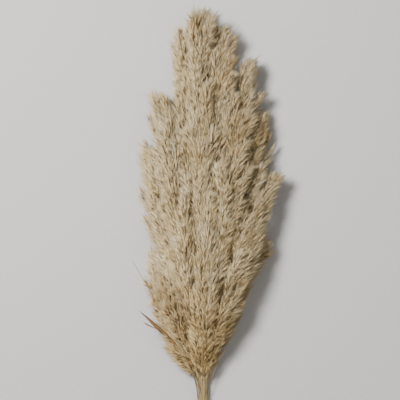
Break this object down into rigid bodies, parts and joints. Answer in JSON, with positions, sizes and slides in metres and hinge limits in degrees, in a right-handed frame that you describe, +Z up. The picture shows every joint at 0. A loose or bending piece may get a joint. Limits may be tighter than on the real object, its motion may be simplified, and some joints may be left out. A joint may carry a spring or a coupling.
{
  "type": "bundle of pampas grass",
  "caption": "Tied bundle of dried pampas grass lying on its side: soft feathery plumes fan out in one pointed spray above a narrow neck of straight cut stems.",
  "frame": {"origin": "on the surface that the bundle lies on, under the middle of its bounding box", "axes": "+Y along the bundle from the cut stem ends to the plume tips, +Z up from the surface, +X to the right seen from above with the tips away"},
  "size_m": [0.2094, 0.6986, 0.0763],
  "materials": {
    "plume": "soft, hairy, matt",
    "tawny_plume": "soft, hairy, matt",
    "stem": "dry cane, satin",
    "dry_leaf": "dry, fibrous, matt",
    "twine": "twisted jute, matt"
  },
  "bodies": {
    "root": {"plume_01": "plume", "plume_02": "plume", "plume_03": "plume", "plume_04": "plume", "plume_05": "plume", "plume_06": "plume", "plume_07": "plume", "plume_08": "plume", "plume_09": "plume", "plume_10": "plume", "plume_11": "tawny_plume", "plume_12": "plume", "stem_01": "stem", "stem_02": "stem", "stem_03": "stem", "stem_04": "stem", "stem_05": "stem", "stem_06": "stem", "stem_07": "stem", "stem_08": "stem", "stem_09": "stem", "stem_10": "stem", "stem_11": "stem", "stem_12": "stem", "dry_leaf_1": "dry_leaf", "dry_leaf_2": "dry_leaf", "dry_leaf_3": "dry_leaf", "bare_straw_1": "dry_leaf", "bare_straw_2": "dry_leaf", "twine_band": "twine", "twine_knot": "twine"}
  },
  "joints": []
}
